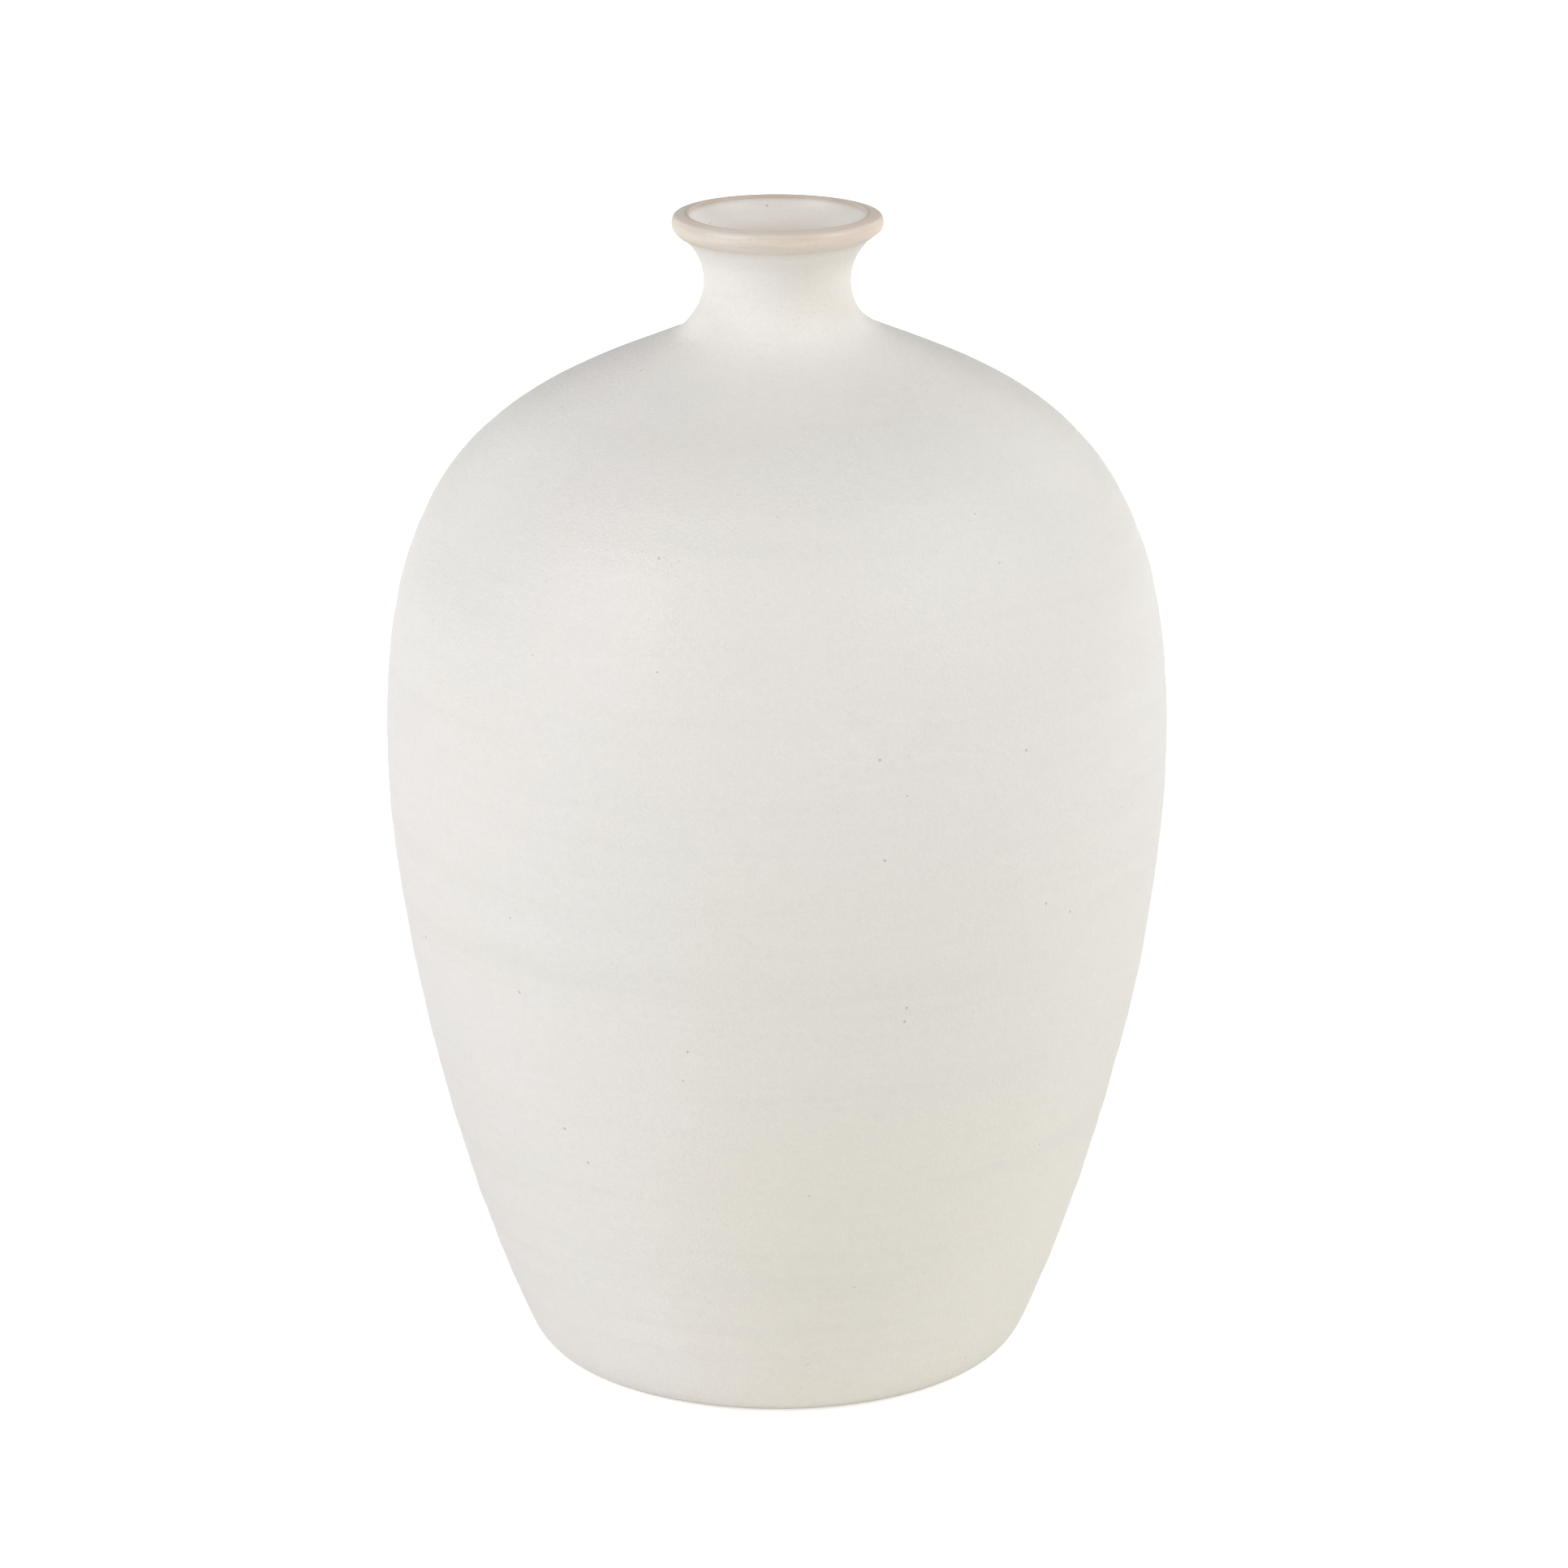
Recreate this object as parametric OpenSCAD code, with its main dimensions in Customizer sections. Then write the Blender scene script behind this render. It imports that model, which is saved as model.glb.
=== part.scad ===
// Narrow-necked stoneware bud vase, made as a potter makes it: a thrown lower section and a thrown
// shoulder section luted together, a neck set on the shoulder and a rolled lip, under three coats of
// glaze. Every piece is turned about +Z. The foot stands on z = 0. All lengths are millimetres.

/* [Body] */
// Height from the foot to the top of the lip
height = 250; // [235:1:270]
// Widest diameter of the belly
belly_d = 167.4; // [155:0.2:175]
// Height of the widest part of the belly
belly_z = 136; // [128:1:142]
// How far the lower wall stays close to upright below the belly
belly_drop = 39.6; // [25:0.2:50]
// How far the lower wall keeps the lean that it has at the foot
foot_drive = 38.6; // [25:0.2:50]
// How far the wall stays close to upright above the belly
belly_rise = 65.8; // [50:0.2:72]
// How far the shoulder keeps the slope that it has at the neck
shoulder_drive = 36.4; // [25:0.2:42]
// Slope of the shoulder where it meets the neck, in degrees below level
shoulder_slope = 23.1; // [18:0.1:28]

/* [Foot] */
// Diameter of the foot where its rounded edge meets the wall
foot_d = 110.2; // [104:0.2:116]
// Height of the foot's rounded edge
foot_round_z = 5.4; // [4:0.1:7]
// Lean of the wall above the foot, in degrees from upright
foot_lean = 23.4; // [20:0.1:26]
// Outer diameter of the ring that the vase stands on
rest_d = 98; // [92:0.5:100]
// Width of that ring
rest_w = 7; // [5:0.5:10]
// Depth of the recess inside the ring
recess_z = 2; // [1:0.1:3]
// Thickness of the floor
floor_t = 7; // [5:0.5:9]

/* [Neck] */
// Diameter of the neck at its waist
neck_d = 31.1; // [29:0.1:31.5]
// Distance of the waist below the top of the lip
neck_drop = 14.4; // [13.6:0.1:14.6]
// Radius of the neck's hollow outline
neck_curve_r = 12.4; // [12:0.1:13]
// Diameter of the straight bore through the neck
throat_d = 22; // [20:0.1:23]
// Length of that straight bore
throat_len = 11; // [8:0.5:11]

/* [Lip] */
// Widest diameter of the rolled lip
lip_d = 44.6; // [44.4:0.1:46]
// Distance of the widest part of the lip below its top
lip_drop = 2.6; // [2.3:0.1:2.8]
// Distance of the crease under the lip below its top
crease_drop = 5; // [4.8:0.1:5.3]
// Diameter of the mouth at the lip's inner edge
mouth_d = 37.4; // [36:0.1:38]
// Radius of that inner edge
mouth_edge_r = 0.7; // [0.7:0.1:0.9]
// Slope of the lip's top as it rolls out from the mouth, in degrees below level
crown_slope = 17.5; // [15:0.5:22]
// How far the lip keeps that slope
crown_drive = 1.7; // [1.2:0.1:1.8]
// How far the lip stays close to upright above its widest part
lip_rise = 2.8; // [2:0.1:2.8]
// How far it stays close to upright below its widest part
lip_fall = 0.5; // [0.4:0.1:0.9]
// How far its underside stays close to level outside the crease
under_drive = 1.2; // [0.8:0.1:1.6]

/* [Clay and glaze] */
// Thickness of the wall at the foot, with its glaze
wall_low_t = 6.2; // [5:0.1:7]
// Thickness of the wall at the neck, with its glaze
wall_high_t = 4.6; // [4.2:0.1:5]
// Thickness of each coat of glaze
glaze_t = 0.5; // [0.3:0.05:0.5]
// Height of the ridge that keys one section into the next
key_h = 1.6; // [1:0.1:2]
// Share of the wall's thickness that the ridge takes up
key_share = 0.4; // [0.3:0.05:0.5]

/* [Hidden] */

$fn = 96;
belly_r = belly_d / 2;
foot_r = foot_d / 2;
rest_r = rest_d / 2;
throat_r = throat_d / 2;
lip_r = lip_d / 2;
mouth_r = mouth_d / 2;
floor_z = recess_z + floor_t + glaze_t;

// Steps along each stretch of the outline, from the foot to the crease under the lip
foot_n = 6;
lower_n = 20;
low_shoulder_n = 8;
high_shoulder_n = 20;
neck_n = 16;
// Where along the shoulder curve the lower section ends
seam_t = 0.24;
// The step of the foot curve at which the glaze stops, and the steps it takes to thicken
glaze_line = 2;
glaze_build = 2;
// The step of the lower wall at which the floor's inside corner ends
corner_step = 3;
// Steps of the inside curves
corner_n = 8;
root_n = 8;
flare_n = 10;
edge_n = 4;
// The step of the flare at which the lip sits on the neck
lip_seat = 6;
// How far the straight bore runs above the neck's waist
throat_rise = 2.4;
// How far the inside keeps the shoulder's slope, and the bore's direction below and above the bore
root_drive = 6;
bore_drive = 4;
flare_drive = 5.5;
// The way the flare runs into the mouth's inner edge
mouth_run = [1.2, 4];
// How steeply the joint between the coats under the lip runs up into the wall
crease_pitch = 0.4;
// Steps of the lip's underside, its top and its inner edge
under_n = 6;
top_n = 8;

function point_on(a, b, c, d, t) =
    pow(1 - t, 3) * a + 3 * pow(1 - t, 2) * t * b + 3 * (1 - t) * t * t * c + pow(t, 3) * d;
// Points 1 to n of a cubic curve between parameters from and to
function curve(a, b, c, d, n, from = 0, to = 1) =
    [for (i = [1:n]) point_on(a, b, c, d, from + (to - from) * i / n)];
// The same for a curve with one control point
function bend(a, b, c, n) = curve(a, a + (b - a) * 2 / 3, c + (b - c) * 2 / 3, c, n);
function slice(path, first, last) = [for (i = [first:last]) path[i]];
function turned(path) = [for (i = [len(path) - 1:-1:0]) path[i]];
function unit(v) = v / norm(v);
// The normal to the left of a path at step i
function left(path, i) =
    let (last = len(path) - 1, d = unit(path[min(i + 1, last)] - path[max(i - 1, 0)])) [-d[1], d[0]];
function ramp(x) = let (t = min(max(x, 0), 1)) t * t * (3 - 2 * t);

// The neck's hollow outline is an arc about this centre, and joins the shoulder at neck_root
neck_z = height - neck_drop;
neck_centre = [neck_d / 2 + neck_curve_r, neck_z];
root_turn = 90 - shoulder_slope;
crease_turn = asin((neck_drop - crease_drop) / neck_curve_r);
function neck_point(turn) = neck_centre + neck_curve_r * [-cos(turn), sin(turn)];
neck_root = neck_point(-root_turn);
crease = neck_point(crease_turn);
shoulder_back = shoulder_drive * [cos(shoulder_slope), -sin(shoulder_slope)];

// The outside of the body, from the resting ring up to the crease
foot_top = [foot_r, foot_round_z];
foot_corner = [foot_r - foot_round_z * tan(foot_lean), 0];
belly = [belly_r, belly_z];
lower_a = foot_top + foot_drive * [sin(foot_lean), cos(foot_lean)];
lower_b = belly - [0, belly_drop];
upper_a = belly + [0, belly_rise];
upper_b = neck_root + shoulder_back;
outside = concat(
    [[rest_r, 0]],
    bend([rest_r, 0], foot_corner, foot_top, foot_n),
    curve(foot_top, lower_a, lower_b, belly, lower_n),
    curve(belly, upper_a, upper_b, neck_root, low_shoulder_n, 0, seam_t),
    curve(belly, upper_a, upper_b, neck_root, high_shoulder_n, seam_t, 1),
    [for (i = [1:neck_n]) neck_point(-root_turn + (root_turn + crease_turn) * i / neck_n)]
);
wall_i = foot_n;
seam_i = wall_i + lower_n + low_shoulder_n;
root_i = seam_i + high_shoulder_n;
crease_i = root_i + neck_n;

// The clay lies under the glaze, which thins out to nothing at the glaze line
function coat(i) = glaze_t * ramp((i - glaze_line) / glaze_build);
clay_crease = crease + glaze_t * [-1, crease_pitch];
clay_outside = [for (i = [0:crease_i])
    i == crease_i ? clay_crease : outside[i] + coat(i) * left(outside, i)];

// The outside of the lip, from the crease over the top to the mouth's inner edge
lip_side = [lip_r, height - lip_drop];
edge_centre = [mouth_r + mouth_edge_r, height - mouth_edge_r];
function edge_point(turn) = edge_centre + mouth_edge_r * [-sin(turn), cos(turn)];
lip_crown = edge_point(-crown_slope);
mouth_edge = edge_point(90);
lip_outside = concat(
    [crease],
    curve(crease, crease + [under_drive, 0], lip_side - [0, lip_fall], lip_side, under_n),
    curve(
        lip_side,
        lip_side + [0, lip_rise],
        lip_crown + crown_drive * [cos(crown_slope), -sin(crown_slope)],
        lip_crown,
        top_n
    ),
    [for (i = [0:edge_n]) edge_point(90 * i / edge_n)]
);
lip_last = len(lip_outside) - 1;
clay_edge = mouth_edge + glaze_t * [1, 0];
clay_lip = concat(
    [clay_crease],
    [for (i = [1:lip_last - 1]) lip_outside[i] + glaze_t * left(lip_outside, i)],
    [clay_edge]
);

// The inside of the vase, from the middle of the floor up to the mouth's inner edge
function wall_t(z) = wall_low_t + (wall_high_t - wall_low_t) * z / height;
function inner(i) = outside[i] + wall_t(outside[i][1]) * left(outside, i);
corner_i = wall_i + corner_step;
corner_top = inner(corner_i);
corner_dir = unit(inner(corner_i + 1) - corner_top);
corner_low = corner_top - corner_dir * (corner_top[1] - floor_z) / corner_dir[1];
floor_edge = corner_low - [norm(corner_top - corner_low), 0];
inner_root = inner(root_i);
throat_top = neck_z + throat_rise;
throat_low = throat_top - throat_len;
root_dir = [-cos(shoulder_slope), sin(shoulder_slope)];
inside = concat(
    [[0, floor_z], floor_edge],
    bend(floor_edge, corner_low, corner_top, corner_n),
    [for (i = [corner_i + 1:root_i]) inner(i)],
    curve(
        inner_root,
        inner_root + root_drive * root_dir,
        [throat_r, throat_low - bore_drive],
        [throat_r, throat_low],
        root_n
    ),
    [[throat_r, throat_top]],
    curve(
        [throat_r, throat_top],
        [throat_r, throat_top + flare_drive],
        mouth_edge - mouth_run,
        mouth_edge,
        flare_n
    )
);
inside_wall_i = 1 + corner_n;
inside_seam_i = inside_wall_i + seam_i - corner_i;
inside_root_i = inside_wall_i + root_i - corner_i;
inside_throat_i = inside_root_i + root_n;
inside_seat_i = inside_throat_i + 1 + lip_seat;
inside_last = len(inside) - 1;
clay_inside = concat(
    [[0, floor_z - glaze_t]],
    [for (i = [1:inside_last - 1])
        i == inside_throat_i || i == inside_throat_i + 1
            ? inside[i] + [glaze_t, 0]
            : inside[i] - glaze_t * left(inside, i)],
    [clay_edge]
);

// The joint between two sections, from outside to inside, with a ridge on the lower one
function key(from, to) =
    let (across = to - from, up = unit([across[1], -across[0]]))
    [
        from + across * (1 - key_share) / 2,
        from + across / 2 + key_h * up,
        from + across * (1 + key_share) / 2
    ];

// The foot, floor and lower wall, thrown in one
module lower_section() {
    under = [[0, recess_z], [rest_r - rest_w - recess_z, recess_z], [rest_r - rest_w, 0]];
    color("burlywood") rotate_extrude() polygon(concat(
        under,
        slice(clay_outside, 0, seam_i),
        key(clay_outside[seam_i], clay_inside[inside_seam_i]),
        turned(slice(clay_inside, 0, inside_seam_i))
    ));
}

// The closed-in upper wall, thrown apart and luted to the lower section
module shoulder_section() {
    color("wheat") rotate_extrude() polygon(concat(
        slice(clay_outside, seam_i, root_i),
        key(clay_outside[root_i], clay_inside[inside_root_i]),
        turned(slice(clay_inside, inside_seam_i, inside_root_i)),
        turned(key(clay_outside[seam_i], clay_inside[inside_seam_i]))
    ));
}

// The neck, set on the shoulder, with the bore for the stems
module neck() {
    color("tan") rotate_extrude() polygon(concat(
        slice(clay_outside, root_i, crease_i),
        turned(slice(clay_inside, inside_root_i, inside_seat_i)),
        turned(key(clay_outside[root_i], clay_inside[inside_root_i]))
    ));
}

// The roll of clay turned out round the mouth
module lip() {
    color("peru") rotate_extrude() polygon(concat(
        clay_lip,
        turned(slice(clay_inside, inside_seat_i, inside_last - 1))
    ));
}

// The matt white coat on the outside, from the glaze line to the crease
module body_glaze() {
    color([0.90, 0.89, 0.86]) rotate_extrude() polygon(concat(
        slice(outside, glaze_line, crease_i),
        turned(slice(clay_outside, glaze_line + 1, crease_i))
    ));
}

// The thin tan coat on the lip
module lip_glaze() {
    color([0.86, 0.78, 0.70]) rotate_extrude() polygon(concat(lip_outside, turned(clay_lip)));
}

// The coat inside, from the mouth's inner edge down to the floor
module liner_glaze() {
    color([0.84, 0.81, 0.78]) rotate_extrude() polygon(concat(clay_inside, turned(inside)));
}

lower_section();
shoulder_section();
neck();
lip();
body_glaze();
lip_glaze();
liner_glaze();
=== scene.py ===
import math

import bpy
import numpy as np
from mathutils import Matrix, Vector


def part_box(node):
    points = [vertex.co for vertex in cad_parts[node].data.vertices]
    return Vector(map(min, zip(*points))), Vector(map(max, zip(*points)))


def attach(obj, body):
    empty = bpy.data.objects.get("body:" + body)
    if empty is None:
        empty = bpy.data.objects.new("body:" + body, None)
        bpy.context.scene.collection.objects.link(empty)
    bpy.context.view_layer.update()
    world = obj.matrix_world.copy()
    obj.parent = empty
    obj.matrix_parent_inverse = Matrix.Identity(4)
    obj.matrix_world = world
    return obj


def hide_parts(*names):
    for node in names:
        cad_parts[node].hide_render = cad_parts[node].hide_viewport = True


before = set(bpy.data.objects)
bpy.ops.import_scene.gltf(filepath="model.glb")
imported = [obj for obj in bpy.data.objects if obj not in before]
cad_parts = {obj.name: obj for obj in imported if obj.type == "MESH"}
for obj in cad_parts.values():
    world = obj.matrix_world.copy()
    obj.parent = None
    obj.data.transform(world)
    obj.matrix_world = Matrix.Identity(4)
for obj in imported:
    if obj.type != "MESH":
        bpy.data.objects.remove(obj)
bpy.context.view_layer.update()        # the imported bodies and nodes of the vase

# The vase in the frame: +Z up along its turning axis, foot on z = 0, and the camera on the -Y side, so
# that +X is at the camera's right. Azimuths are radians about +Z from +X, so the front is -pi / 2.
# Every surface is turned from the outline of a CAD node, made smooth, and then given the small
# departures from a true circle that a hand-thrown pot has. Lengths are metres.

MM = 0.001
SEGMENTS = 256               # faces round the vase
CORNER = math.radians(38)    # an outline that bends more than this keeps its corner
SAME_PLACE = 2e-6            # points nearer than this are one point

LIP_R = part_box("lip_glaze")[1][0]
LIP_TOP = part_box("lip_glaze")[1][2]
GLAZE_LINE_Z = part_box("body_glaze")[0][2]        # the white glaze stops here at the foot,
CREASE_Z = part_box("body_glaze")[1][2]            # and here under the lip
SEAM_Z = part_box("lower_section")[1][2]
NECK_ROOT_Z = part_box("shoulder_section")[1][2]
RIGHT_FRONT_SIDE = (0.85, -0.45, 0.0)                   # the side towards which the outer glazes change tint and the liner is darkened with painted shade


# ---------------------------------------------------------------- outlines

def seam_links(mesh):
    """The corners of the outline in the half plane y = 0, x > 0, and which of them an edge joins."""
    corners, corner_of = [], {}
    for vertex in mesh.vertices:
        x, y, z = vertex.co
        if abs(y) > SAME_PLACE or x < SAME_PLACE:
            continue
        near = [i for i, (r, h) in enumerate(corners) if math.hypot(r - x, h - z) < SAME_PLACE]
        if not near:
            corners.append((x, z))
        corner_of[vertex.index] = near[0] if near else len(corners) - 1
    links = {i: set() for i in range(len(corners))}
    for edge in mesh.edges:
        a, b = (corner_of.get(i) for i in edge.vertices)
        if a is not None and b is not None and a != b:
            links[a].add(b)
            links[b].add(a)
    return corners, links


def outline(node):
    """The (radius, height) outline that a CAD node is turned from, counter-clockwise. It is closed, or
    runs from the axis back to the axis. A flat ring has no edge along the seam, so its two ends are
    joined by their height."""
    corners, links = seam_links(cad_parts[node].data)
    ends = [i for i in links if len(links[i]) == 1]
    for a in ends:
        for b in ends:
            if a < b and abs(corners[a][1] - corners[b][1]) < SAME_PLACE:
                links[a].add(b)
                links[b].add(a)
    loose = [i for i in links if len(links[i]) == 1]
    start = loose[0] if loose else 0
    path, passed = [start], {start}
    while True:
        onward = [i for i in links[path[-1]] if i not in passed]
        if not onward:
            break
        path.append(onward[0])
        passed.add(onward[0])
    points = [corners[i] for i in path]
    if loose:
        points = [(0.0, points[0][1])] + points + [(0.0, points[-1][1])]
    area = sum(a[0] * b[1] - b[0] * a[1] for a, b in zip(points, points[1:] + points[:1]))
    return np.array(points if area > 0 else points[::-1])


def smooth(points, step):
    """The closed outline resampled to about step along a Catmull-Rom curve, which keeps its corners and
    stays between its lowest and highest point."""
    ahead = np.roll(points, -1, axis=0) - points
    length = np.linalg.norm(ahead, axis=1)
    heading = ahead / length[:, None]
    before = np.roll(heading, 1, axis=0)
    cosine = np.clip((before * heading).sum(axis=1), -1, 1)
    sharp = (np.arccos(cosine) > CORNER) | (points[:, 0] < SAME_PLACE)
    tangent = before * length[:, None] + heading * np.roll(length, 1)[:, None]
    tangent /= np.linalg.norm(tangent, axis=1)[:, None]
    fine = []
    for i, a in enumerate(points):
        j = (i + 1) % len(points)
        b = points[j]
        if a[0] < SAME_PLACE and b[0] < SAME_PLACE:
            fine.append(a)
            continue
        leave = heading[i] if sharp[i] else tangent[i]
        arrive = heading[i] if sharp[j] else tangent[j]
        parts = max(1, round(length[i] / step))
        for t in np.arange(parts) / parts:
            fine.append(
                (2 * t**3 - 3 * t**2 + 1) * a
                + (t**3 - 2 * t**2 + t) * leave * length[i]
                + (3 * t**2 - 2 * t**3) * b
                + (t**3 - t**2) * arrive * length[i]
            )
    fine = np.array(fine)
    fine[:, 1] = np.clip(fine[:, 1], points[:, 1].min(), points[:, 1].max())
    return fine


# ---------------------------------------------------------------- the potter's hand

# The finger ridges. Each set has a height and a pitch in millimetres, how often it repeats round the
# vase, and where it starts in radians. One that repeats once is a helix that climbs a pitch in a turn.
RIDGES = [(0.030, 6.1, -1, 0.0), (0.035, 9.7, -1, 1.3), (0.045, 17.3, 2, 0.4)]


def bell(x, centre, width):
    """1 at the centre, and falling to nothing on both sides."""
    return np.exp(-(((x - centre) / width) ** 2))


def rise(x, start, end):
    """0 before the start, 1 after the end, and smooth between them."""
    t = np.clip((x - start) / (end - start), 0, 1)
    return t * t * (3 - 2 * t)


def thrown(r, azimuth, z):
    """Where a point of the true turned shape lies on the hand-thrown one, as new (r, z). The departures
    are worked out in millimetres."""
    right = np.cos(azimuth)
    to_right = np.clip(right, 0, 1)
    to_left = np.clip(-right, 0, 1)
    level = z / LIP_TOP
    above_foot = rise(z, 4 * MM, 14 * MM)
    below_neck = 1 - rise(z, NECK_ROOT_Z - 8 * MM, NECK_ROOT_Z)
    on_wall = above_foot * below_neck * rise(r, 20 * MM, 30 * MM)
    ridges = sum(
        height * np.sin(2 * np.pi * z / (pitch * MM) + repeats * azimuth + start)
        for height, pitch, repeats, start in RIDGES
    )
    uneven = 0.75 + 0.25 * np.sin(2 * azimuth + z / (23 * MM))
    # The wall swells where the two sections are luted, on the left of the belly and low on the right
    upper_belly = rise(level, 0.38, 0.48) * (1 - rise(level, 0.66, 0.728))
    swell = (
        0.10 * bell(z, SEAM_Z - 3 * MM, 5 * MM)
        + 0.22 * to_left * upper_belly
        + 0.28 * to_right * bell(level, 0.336, 0.052)
    )
    # The shoulder sits a little higher at the right than at the left
    neck_start = rise(z, NECK_ROOT_Z + 1.5 * MM, NECK_ROOT_Z + 5 * MM)
    lean = 0.55 * right * rise(level, 0.736, 0.856) * (1 - neck_start)
    # The lip was rolled by hand: its underside is tucked in further at the right
    underside = bell(z, CREASE_Z + 0.3 * MM, 0.9 * MM) * rise(r, 18 * MM, 20 * MM)
    tuck = 0.7 * to_right**2 * underside
    on_lip = rise(z, CREASE_Z - 2 * MM, CREASE_Z + 2 * MM)
    wobble = 0.10 * np.sin(3 * azimuth + 0.7) * on_lip
    outward = on_wall * (ridges * uneven + swell) - tuck + wobble
    return r + outward * MM, z + lean * MM


# ---------------------------------------------------------------- meshes

def ring_faces(a, b, a_on_axis, b_on_axis):
    """The faces between two rings of points that start at the indices a and b. A ring on the axis is a
    single point."""
    if a_on_axis and b_on_axis:
        return []
    turn = [(k, (k + 1) % SEGMENTS) for k in range(SEGMENTS)]
    if a_on_axis:
        return [(a, b + n, b + k) for k, n in turn]
    if b_on_axis:
        return [(a + k, a + n, b) for k, n in turn]
    return [(a + k, a + n, b + n, b + k) for k, n in turn]


def turned(name, node, step):
    """A closed mesh turned from a CAD node's outline, in place of the node."""
    path = smooth(outline(node), step)
    azimuth = np.arange(SEGMENTS) * 2 * np.pi / SEGMENTS
    on_axis = path[:, 0] < SAME_PLACE
    points, first = [], []
    for (r, z), axial in zip(path, on_axis):
        first.append(len(points))
        if axial:
            points.append((0.0, 0.0, z))
            continue
        radius, height = thrown(np.full(SEGMENTS, r), azimuth, np.full(SEGMENTS, z))
        points += zip(radius * np.cos(azimuth), radius * np.sin(azimuth), height)
    faces = []
    for i in range(len(path)):
        j = (i + 1) % len(path)
        faces += ring_faces(first[i], first[j], on_axis[i], on_axis[j])
    mesh = bpy.data.meshes.new(name)
    mesh.from_pydata(points, [], faces)
    mesh.validate()
    mesh.polygons.foreach_set("use_smooth", [True] * len(mesh.polygons))
    mesh.set_sharp_from_angle(angle=CORNER)
    piece = bpy.data.objects.new(name, mesh)
    bpy.context.scene.collection.objects.link(piece)
    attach(piece, "root")
    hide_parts(node)
    return piece


# ---------------------------------------------------------------- materials

class Shader:
    """A short way to write a node material. Most methods add nodes and return the last one's output.
    Scales are per metre: a noise of scale 1000 changes over about a millimetre."""

    def __init__(self, name):
        self.material = bpy.data.materials.new(name)
        self.material.use_nodes = True
        self.nodes = self.material.node_tree.nodes
        self.links = self.material.node_tree.links
        self.surface = self.nodes["Principled BSDF"]
        self.place = self.add("ShaderNodeTexCoord").outputs["Object"]

    def add(self, kind, inputs=None, **settings):
        """A new node. Its inputs are values, or outputs to link them to."""
        node = self.nodes.new(kind)
        for key, value in settings.items():
            setattr(node, key, value)
        for key, value in (inputs or {}).items():
            self.feed(node.inputs[key], value)
        return node

    def feed(self, socket, value):
        if isinstance(value, bpy.types.NodeSocket):
            self.links.new(value, socket)
        else:
            socket.default_value = value

    def math(self, operation, *values, clamp=False):
        node = self.add("ShaderNodeMath", operation=operation, use_clamp=clamp)
        for socket, value in zip(node.inputs, values):
            self.feed(socket, value)
        return node.outputs[0]

    def height(self):
        return self.add("ShaderNodeSeparateXYZ", {"Vector": self.place}).outputs["Z"]

    def scaled(self, scale):
        """The place with each axis scaled, which draws a noise out along the axes scaled least."""
        return self.add("ShaderNodeMapping", {"Vector": self.place, "Scale": scale}).outputs[0]

    def radius(self):
        """The distance from the turning axis."""
        inputs = {0: self.scaled((1, 1, 0))}
        return self.add("ShaderNodeVectorMath", inputs, operation="LENGTH").outputs["Value"]

    def to_right_front(self):
        """How far a point lies from the turning axis towards RIGHT_FRONT_SIDE."""
        inputs = {0: self.place, 1: RIGHT_FRONT_SIDE}
        return self.add("ShaderNodeVectorMath", inputs, operation="DOT_PRODUCT").outputs["Value"]

    def noise(self, vector, scale, detail=2.0, roughness=0.5, distortion=0.0):
        inputs = {
            "Vector": vector,
            "Scale": scale,
            "Detail": detail,
            "Roughness": roughness,
            "Distortion": distortion,
        }
        return self.add("ShaderNodeTexNoise", inputs).outputs["Fac"]

    def spots(self, cell, share, radius):
        """1 inside small round spots, in a share of the cells of a grid. The radius of the largest spot
        is a share of a cell."""
        grid = {"Vector": self.place, "Scale": 1 / cell, "Randomness": 1.0}
        cells = self.add("ShaderNodeTexVoronoi", grid)
        split = self.add("ShaderNodeSeparateColor", {"Color": cells.outputs["Color"]})
        chosen = self.math("LESS_THAN", split.outputs["Red"], share)
        size = self.span(split.outputs["Green"], 0.0, 1.0, radius / 2, radius)
        inside = self.math("SUBTRACT", size, cells.outputs["Distance"])
        soft = self.math("MULTIPLY", inside, SPOT_EDGE / radius, clamp=True)
        return self.math("MULTIPLY", chosen, soft)

    def span(self, value, low, high, to_low=0.0, to_high=1.0):
        """The value taken smoothly from low..high to to_low..to_high."""
        inputs = {
            "Value": value,
            "From Min": low,
            "From Max": high,
            "To Min": to_low,
            "To Max": to_high,
        }
        return self.add("ShaderNodeMapRange", inputs, interpolation_type="SMOOTHSTEP").outputs["Result"]

    def mix(self, share, a, b):
        """From the colour a to the colour b."""
        node = self.add("ShaderNodeMix", data_type="RGBA")
        factor, first, second = node.inputs[0], node.inputs[6], node.inputs[7]
        self.feed(factor, share)
        self.feed(first, a)
        self.feed(second, b)
        return node.outputs[2]

    def tint(self, base, mask, share, towards):
        """The base colour, taken a share of the mask towards another colour."""
        return self.mix(self.math("MULTIPLY", mask, share), base, towards)

    def bump(self, value, depth):
        inputs = {"Height": value, "Distance": depth, "Strength": 1.0}
        return self.add("ShaderNodeBump", inputs).outputs["Normal"]

    def finish(self, colour, roughness, normal=None, **constants):
        self.feed(self.surface.inputs["Base Color"], colour)
        self.feed(self.surface.inputs["Roughness"], roughness)
        if normal is not None:
            self.feed(self.surface.inputs["Normal"], normal)
        for key, value in constants.items():
            self.surface.inputs[key].default_value = value
        return self.material


def colour(red, green, blue):
    return (red, green, blue, 1.0)


WHITE = colour(0.850, 0.832, 0.798)
PINK_WHITE = colour(0.863, 0.829, 0.802)
CREAM = colour(0.854, 0.820, 0.732)
NECK_PAINTED_LIGHT = colour(0.900, 0.868, 0.842)
BAND = colour(0.776, 0.753, 0.710)
STIPPLE = colour(0.66, 0.63, 0.585)
THIN_GLAZE = colour(0.74, 0.68, 0.59)
PINHOLE = colour(0.36, 0.29, 0.22)

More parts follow.
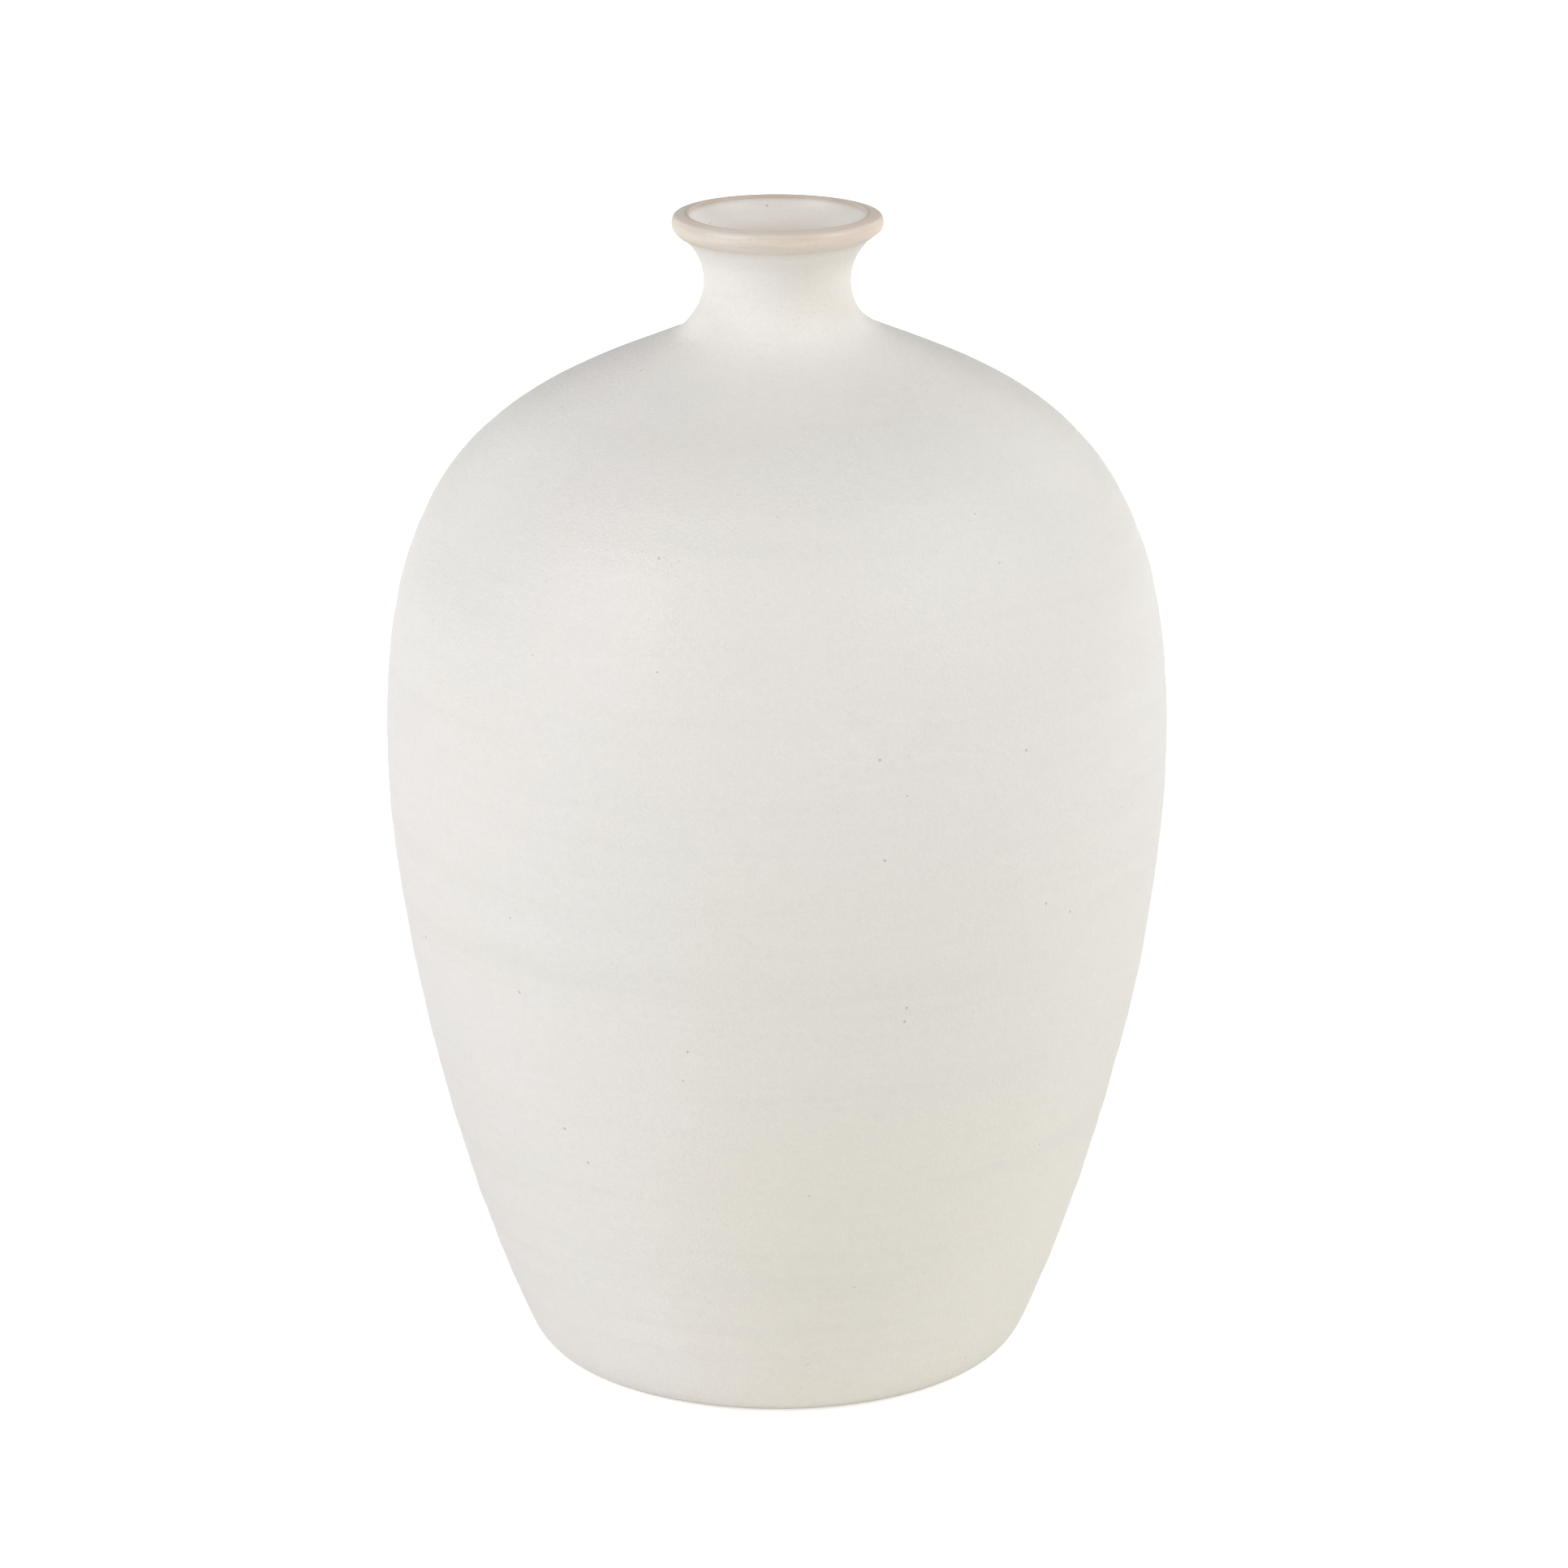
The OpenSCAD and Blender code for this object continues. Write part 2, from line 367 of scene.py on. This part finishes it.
LIP_TAN = colour(0.775, 0.685, 0.595)
LIP_PALE = colour(0.79, 0.735, 0.665)
LIP_PEACH = colour(0.80, 0.665, 0.555)
LIP_BROWN = colour(0.55, 0.44, 0.37)
LIP_ORANGE = colour(0.68, 0.50, 0.34)
LIP_SOFT = colour(0.72, 0.67, 0.61)

LINER_PINK = colour(0.835, 0.785, 0.735)
LINER_WHITE = colour(0.845, 0.815, 0.775)
LINER_DEEP_SHADE = colour(0.725, 0.665, 0.61)
LINER_SIDE_SHADE = colour(0.62, 0.58, 0.545)

CLAY_BUFF = colour(0.60, 0.51, 0.40)
CLAY_PALE = colour(0.68, 0.60, 0.49)
CLAY_GRIT = colour(0.48, 0.38, 0.28)
CLAY_IRON = colour(0.14, 0.08, 0.05)

# The values of a noise between which a cloud, and a fine grain, fade in
CLOUD = (0.35, 0.65)
GRAIN = (0.35, 0.72)
SPOT_EDGE = 2.5              # the larger, the harder a spot's edge
GLAZE_IOR = 1.5
CLAY_IOR = 1.45


def white_glaze():
    """Matt white glaze: faint clouds and wheel bands, a fine stipple, pinholes, and thin at its edges.
    It is creamier towards the right front, low on the belly and on the neck, and its neck is lightened
    with painted light."""
    s = Shader("white_glaze")
    z = s.height()
    clouds = s.noise(s.place, 16.0, detail=4.0, roughness=0.55)
    base = s.mix(s.span(clouds, 0.36, 0.64), PINK_WHITE, WHITE)

    right_front = s.to_right_front()
    drift = s.math("MULTIPLY_ADD", s.noise(s.place, 28.0, detail=3.0), 30 * MM, right_front)
    low_down = s.span(z, 0.64 * LIP_TOP, 0.12 * LIP_TOP)
    cream = s.math("MULTIPLY", s.span(drift, 0.0, 50 * MM), low_down)
    cream = s.math("MULTIPLY", cream, 0.7)
    cream = s.math("MULTIPLY_ADD", s.span(drift, 10 * MM, 50 * MM), 0.25, cream, clamp=True)
    base = s.mix(cream, base, CREAM)
    # Painted light: the whole neck is lightened, against the shade under the lip
    on_neck = s.span(z, NECK_ROOT_Z - 6 * MM, NECK_ROOT_Z + 6 * MM)
    base = s.tint(base, on_neck, 0.75, NECK_PAINTED_LIGHT)
    above_root = s.span(z, NECK_ROOT_Z + 2 * MM, NECK_ROOT_Z + 8 * MM)
    cream = s.span(right_front, 4 * MM, 13 * MM, 0.0, 0.7)
    base = s.tint(base, above_root, cream, CREAM)

    # The wheel's bands are drawn out round the vase: a noise that changes fastest with height
    bands = s.noise(s.scaled((7.0, 7.0, 150.0)), 1.0, detail=4.0, roughness=0.6, distortion=0.2)
    band_share = s.span(z, 0.40 * LIP_TOP, 0.64 * LIP_TOP, 0.27, 0.17)
    base = s.tint(base, s.span(bands, 0.46, 0.70), band_share, BAND)
    mottle = s.noise(s.place, 420.0, detail=3.0, roughness=0.6)
    base = s.tint(base, s.span(mottle, 0.42, 0.70), 0.05, STIPPLE)
    grain = s.noise(s.place, 1700.0, roughness=0.7)
    base = s.tint(base, s.span(grain, *GRAIN), 0.13, STIPPLE)

    # The clay shows through the thin glaze at its ragged lower and upper edge
    drop = s.math("MULTIPLY", s.noise(s.place, 130.0), 1.6 * MM)
    ragged = s.math("SUBTRACT", z, drop)
    thin_glaze_and_shade = s.span(ragged, GLAZE_LINE_Z - 0.8 * MM, GLAZE_LINE_Z + 0.7 * MM, 0.5, 0.0)
    base = s.mix(thin_glaze_and_shade, base, THIN_GLAZE)
    ragged = s.math("MULTIPLY_ADD", s.noise(s.place, 160.0), 1.6 * MM, z)
    thin_glaze_and_shade = s.span(ragged, CREASE_Z - 1.4 * MM, CREASE_Z + 1.4 * MM, 0.0, 0.8)
    base = s.mix(thin_glaze_and_shade, base, THIN_GLAZE)

    holes = s.spots(cell=5 * MM, share=0.35, radius=0.065)
    specks = s.spots(cell=2.4 * MM, share=0.5, radius=0.10)
    base = s.tint(base, holes, 0.30, PINHOLE)
    base = s.tint(base, specks, 0.15, PINHOLE)
    orange_peel = s.noise(s.place, 1250.0, detail=3.0, roughness=0.7)
    relief = s.math("SUBTRACT", s.math("MULTIPLY_ADD", grain, 0.5, orange_peel), holes)
    roughness = s.span(s.noise(s.place, 60.0, detail=3.0), 0.3, 0.7, 0.35, 0.44)
    return s.finish(base, roughness, s.bump(relief, 0.20 * MM), IOR=GLAZE_IOR)


def tan_glaze():
    """Satin tan glaze on the lip: streaked by the wheel, and brown where it breaks at the inner edge."""
    s = Shader("tan_glaze")
    z = s.height()
    base = s.mix(s.span(s.noise(s.place, 55.0, detail=3.0), *CLOUD), LIP_TAN, LIP_PALE)
    right_front = s.to_right_front()
    base = s.mix(s.span(right_front, 6 * MM, 22 * MM, 0.0, 0.7), base, LIP_PEACH)
    streaks = s.noise(s.scaled((60.0, 60.0, 1100.0)), 1.0, detail=3.0, roughness=0.6)
    base = s.tint(base, s.span(streaks, 0.45, 0.75), 0.30, LIP_BROWN)

    wander = s.math("MULTIPLY", s.noise(s.place, 140.0), 0.8 * MM)
    from_axis = s.math("ADD", s.radius(), wander)
    inner_edge = s.span(from_axis, LIP_R - 3.0 * MM, LIP_R - 1.8 * MM, 1.0, 0.0)
    base = s.tint(base, inner_edge, 0.6, LIP_BROWN)
    # Under the roll the glaze is pale, and orange on the side away from RIGHT_FRONT_SIDE
    above_crease = s.math("ADD", z, wander)
    crease = s.span(above_crease, CREASE_Z + 0.3 * MM, CREASE_Z + 2.0 * MM, 1.0, 0.0)
    orange = s.span(right_front, -16 * MM, 4 * MM, 0.9, 0.0)
    base = s.mix(crease, base, s.mix(orange, LIP_SOFT, LIP_ORANGE))

    grain = s.noise(s.place, 1500.0, roughness=0.7)
    base = s.tint(base, s.span(grain, *GRAIN), 0.12, LIP_BROWN)
    specks = s.spots(cell=2.5 * MM, share=0.4, radius=0.13)
    base = s.tint(base, specks, 0.45, LIP_BROWN)
    relief = s.math("ADD", grain, streaks)
    return s.finish(base, 0.36, s.bump(relief, 0.05 * MM), IOR=GLAZE_IOR)


def liner():
    """The glaze inside: off-white with a pink cast, with painted shade further down the neck and towards
    the right front, and brown at its edge.
    """
    s = Shader("liner_glaze")
    z = s.height()
    base = s.mix(s.span(s.noise(s.place, 70.0, detail=3.0), *CLOUD), LINER_PINK, LINER_WHITE)
    # Painted shade: the inside wall is made darker towards the right front
    thin_glaze_and_shade = s.span(s.to_right_front(), 4 * MM, 16 * MM, 0.0, 0.75)
    base = s.mix(thin_glaze_and_shade, base, LINER_SIDE_SHADE)
    # Painted shade: darker further down the neck, where less light reaches
    deep_shade = s.span(z, LIP_TOP - 7.5 * MM, LIP_TOP - 4.0 * MM, 0.9, 0.0)
    base = s.mix(deep_shade, base, LINER_DEEP_SHADE)
    ragged = s.math("MULTIPLY_ADD", s.noise(s.place, 150.0), 0.6 * MM, z)
    edge = s.span(ragged, LIP_TOP - 1.2 * MM, LIP_TOP - 0.2 * MM, 0.0, 0.5)
    base = s.mix(edge, base, LIP_BROWN)
    grain = s.noise(s.place, 1200.0, roughness=0.7)
    base = s.tint(base, s.span(grain, *GRAIN), 0.14, STIPPLE)
    specks = s.spots(cell=3 * MM, share=0.4, radius=0.12)
    base = s.tint(base, specks, 0.5, PINHOLE)
    return s.finish(base, 0.38, s.bump(grain, 0.05 * MM), IOR=GLAZE_IOR)


def stoneware():
    """Bare fired clay: buff, gritty and matt, with iron specks. It shows on the foot."""
    s = Shader("stoneware")
    clouds = s.noise(s.place, 45.0, detail=4.0)
    base = s.mix(s.span(clouds, *CLOUD), CLAY_BUFF, CLAY_PALE)
    grit = s.noise(s.place, 1600.0, detail=3.0, roughness=0.7)
    base = s.tint(base, s.span(grit, 0.4, 0.7), 0.30, CLAY_GRIT)
    iron = s.spots(cell=1.8 * MM, share=0.5, radius=0.14)
    base = s.tint(base, iron, 0.7, CLAY_IRON)
    roughness = s.span(grit, 0.3, 0.7, 0.80, 0.95)
    return s.finish(base, roughness, s.bump(grit, 0.12 * MM), IOR=CLAY_IOR)


# ---------------------------------------------------------------- the pieces

CLAY = stoneware()
# Each piece's name, the node it replaces, its step along the outline, its slot and its material
PIECES = [
    ("lower_clay", "lower_section", 3 * MM, "stoneware", CLAY),
    ("shoulder_clay", "shoulder_section", 3 * MM, "stoneware", CLAY),
    ("neck_clay", "neck", 1.5 * MM, "stoneware", CLAY),
    ("lip_clay", "lip", 1.0 * MM, "stoneware", CLAY),
    ("outer_glaze", "body_glaze", 1.5 * MM, "white_glaze", white_glaze()),
    ("rim_glaze", "lip_glaze", 0.35 * MM, "tan_glaze", tan_glaze()),
    ("inner_glaze", "liner_glaze", 1.9 * MM, "liner_glaze", liner()),
]
for name, node, step, slot, material in PIECES:
    piece = turned(name, node, step)
    piece.data.materials.append(material)


# ---------------------------------------------------------------- floor and light

FLOOR_HALF = 4.0
PAPER_WHITE = colour(0.9, 0.9, 0.9)
PAPER_FADE = (0.4, 1.6)      # the paper's glow grows between these distances from the vase
PAPER_GLOW = (0.17, 0.83)
PAPER_LIFT = 0.5             # and what the camera sees of it glows this much more
BOX_DISTANCE = 1.6
AMBIENT = 0.2                # what the white surroundings light the vase with


def paper():
    """White studio paper. It glows, so that it runs out to pure white behind the vase."""
    s = Shader("paper")
    distance = s.add("ShaderNodeVectorMath", {"Vector": s.place}, operation="LENGTH").outputs["Value"]
    direct = s.add("ShaderNodeLightPath").outputs["Is Camera Ray"]
    glow = s.math("MULTIPLY_ADD", direct, PAPER_LIFT, s.span(distance, *PAPER_FADE, *PAPER_GLOW))
    s.feed(s.surface.inputs["Emission Color"], PAPER_WHITE)
    s.feed(s.surface.inputs["Emission Strength"], glow)
    return s.finish(PAPER_WHITE, 0.9)


def floor(half):
    corners = [(-half, -half, 0), (half, -half, 0), (half, half, 0), (-half, half, 0)]
    mesh = bpy.data.meshes.new("floor")
    mesh.from_pydata(corners, [], [(0, 1, 2, 3)])
    mesh.materials.append(paper())
    ground = bpy.data.objects.new("floor", mesh)
    bpy.context.scene.collection.objects.link(ground)


def softbox(name, azimuth, elevation, size, watts):
    """An area light that looks at the middle of the vase. Azimuth 0 is the camera's side, and 90 is
    the camera's right."""
    light = bpy.data.lights.new(name, "AREA")
    light.shape = "RECTANGLE"
    light.size, light.size_y = size
    light.energy = watts
    lamp = bpy.data.objects.new(name, light)
    turn, lift = math.radians(azimuth), math.radians(elevation)
    away = Vector((math.sin(turn) * math.cos(lift), -math.cos(turn) * math.cos(lift), math.sin(lift)))
    lamp.location = Vector((0, 0, LIP_TOP / 2)) + BOX_DISTANCE * away
    lamp.rotation_euler = away.to_track_quat("Z", "Y").to_euler()
    bpy.context.scene.collection.objects.link(lamp)


def surroundings():
    """White surroundings: full white where the camera sees them, and a soft fill light on the vase."""
    world = bpy.data.worlds.new("studio")
    bpy.context.scene.world = world
    world.use_nodes = True
    tree = world.node_tree
    sky = tree.nodes["Background"]
    direct = tree.nodes.new("ShaderNodeLightPath").outputs["Is Camera Ray"]
    level = tree.nodes.new("ShaderNodeMapRange")
    level.inputs["To Min"].default_value = AMBIENT
    level.inputs["To Max"].default_value = 1.0
    tree.links.new(direct, level.inputs["Value"])
    tree.links.new(level.outputs["Result"], sky.inputs["Strength"])
    sky.inputs["Color"].default_value = colour(1, 1, 1)


floor(FLOOR_HALF)
softbox("left_box", azimuth=-57, elevation=31, size=(1.0, 1.3), watts=13.9)
softbox("right_box", azimuth=70, elevation=36, size=(1.2, 1.2), watts=13.4)
softbox("back_left_box", azimuth=-140, elevation=25, size=(1.0, 1.0), watts=4)
softbox("back_right_box", azimuth=140, elevation=25, size=(1.0, 1.0), watts=4.2)
surroundings()
bpy.context.scene.view_settings.view_transform = "Standard"


# ---------------------------------------------------------------- camera

CAMERA_PITCH = math.radians(17.21)
CAMERA_DISTANCE = 1.2245
CAMERA_AIM = Vector((0.0014, 0.0, 0.1246))
SENSOR_WIDTH = 36.0
FOCAL_LENGTH = 130.13

camera_data = bpy.data.cameras.new("camera")
camera_data.sensor_width = SENSOR_WIDTH
camera_data.lens = FOCAL_LENGTH
camera_data.clip_start = 0.05
camera_data.clip_end = 50
camera = bpy.data.objects.new("camera", camera_data)
back = Vector((0, -math.cos(CAMERA_PITCH), math.sin(CAMERA_PITCH)))
camera.location = CAMERA_AIM + CAMERA_DISTANCE * back
camera.rotation_euler = back.to_track_quat("Z", "Y").to_euler()
bpy.context.scene.collection.objects.link(camera)
bpy.context.scene.camera = camera

bpy.context.view_layer.update()
